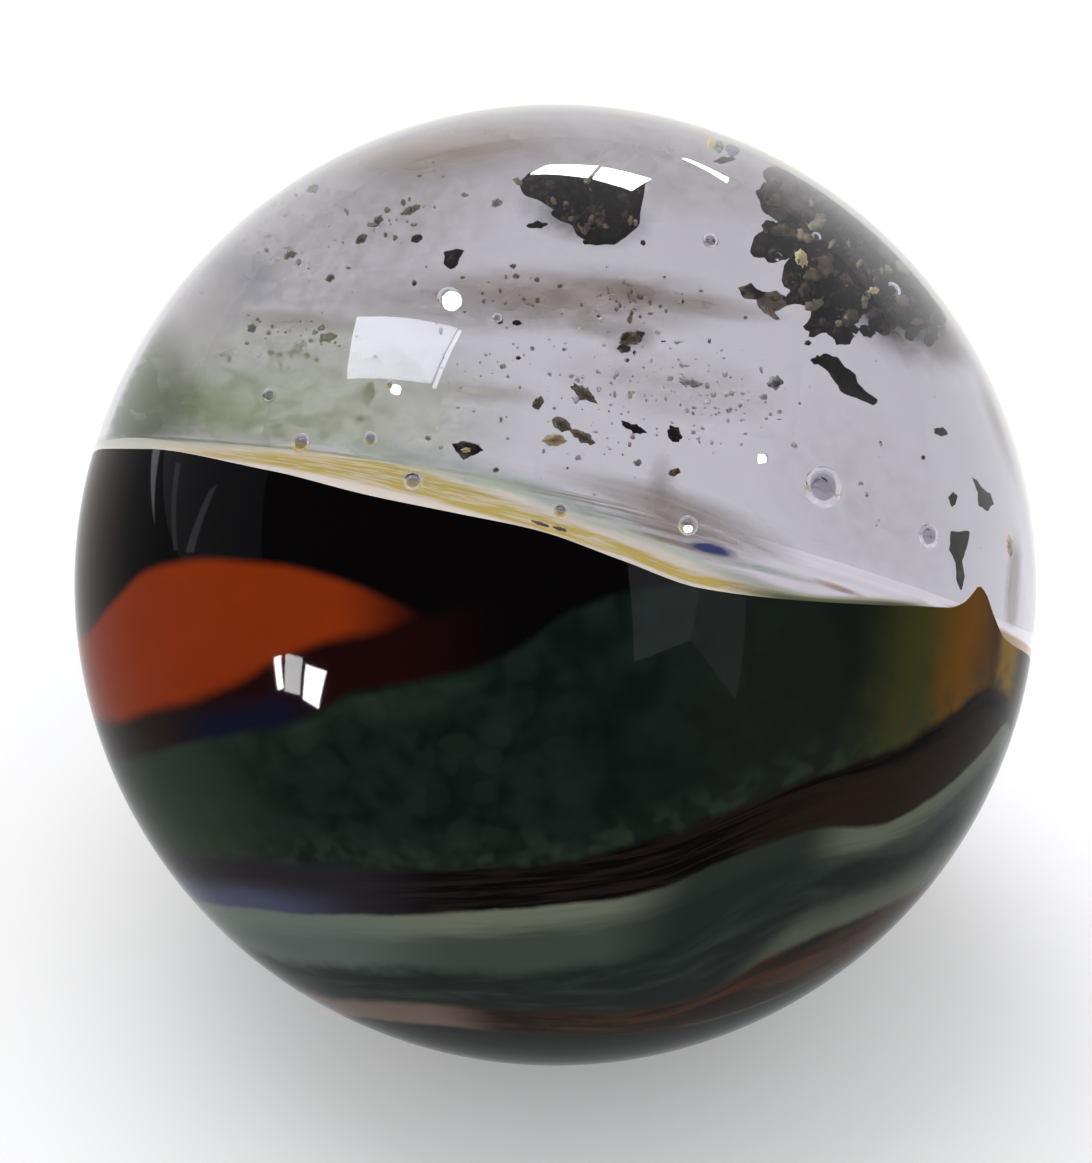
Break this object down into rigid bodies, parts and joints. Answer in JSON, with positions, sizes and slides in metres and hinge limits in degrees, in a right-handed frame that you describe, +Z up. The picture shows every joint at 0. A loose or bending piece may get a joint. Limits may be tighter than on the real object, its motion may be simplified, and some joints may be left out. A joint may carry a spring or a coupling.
{
  "type": "glass marble",
  "caption": "Solid handmade glass marble: clear upper glass with gas bubbles and ash over a fused swirl of dark coloured glass.",
  "frame": {"origin": "centre of the ball", "axes": "+Z up, with the seat straight below; the show side looks along -Y and is tilted upward by 45 degrees; +X is to the right of the show side"},
  "size_m": [0.025, 0.025, 0.025],
  "materials": {
    "clear_glass": "fire-polished clear glass with a grey-lavender cast, gas bubbles and ash specks",
    "coloured_glass": "fire-polished opaque coloured glass in streaks of black, orange, dark green, brown and olive",
    "ash": "matt black-brown furnace ash closed in the glass"
  },
  "bodies": {
    "root": {"marble": "clear_glass", "coloured_glass": "coloured_glass"}
  },
  "joints": []
}
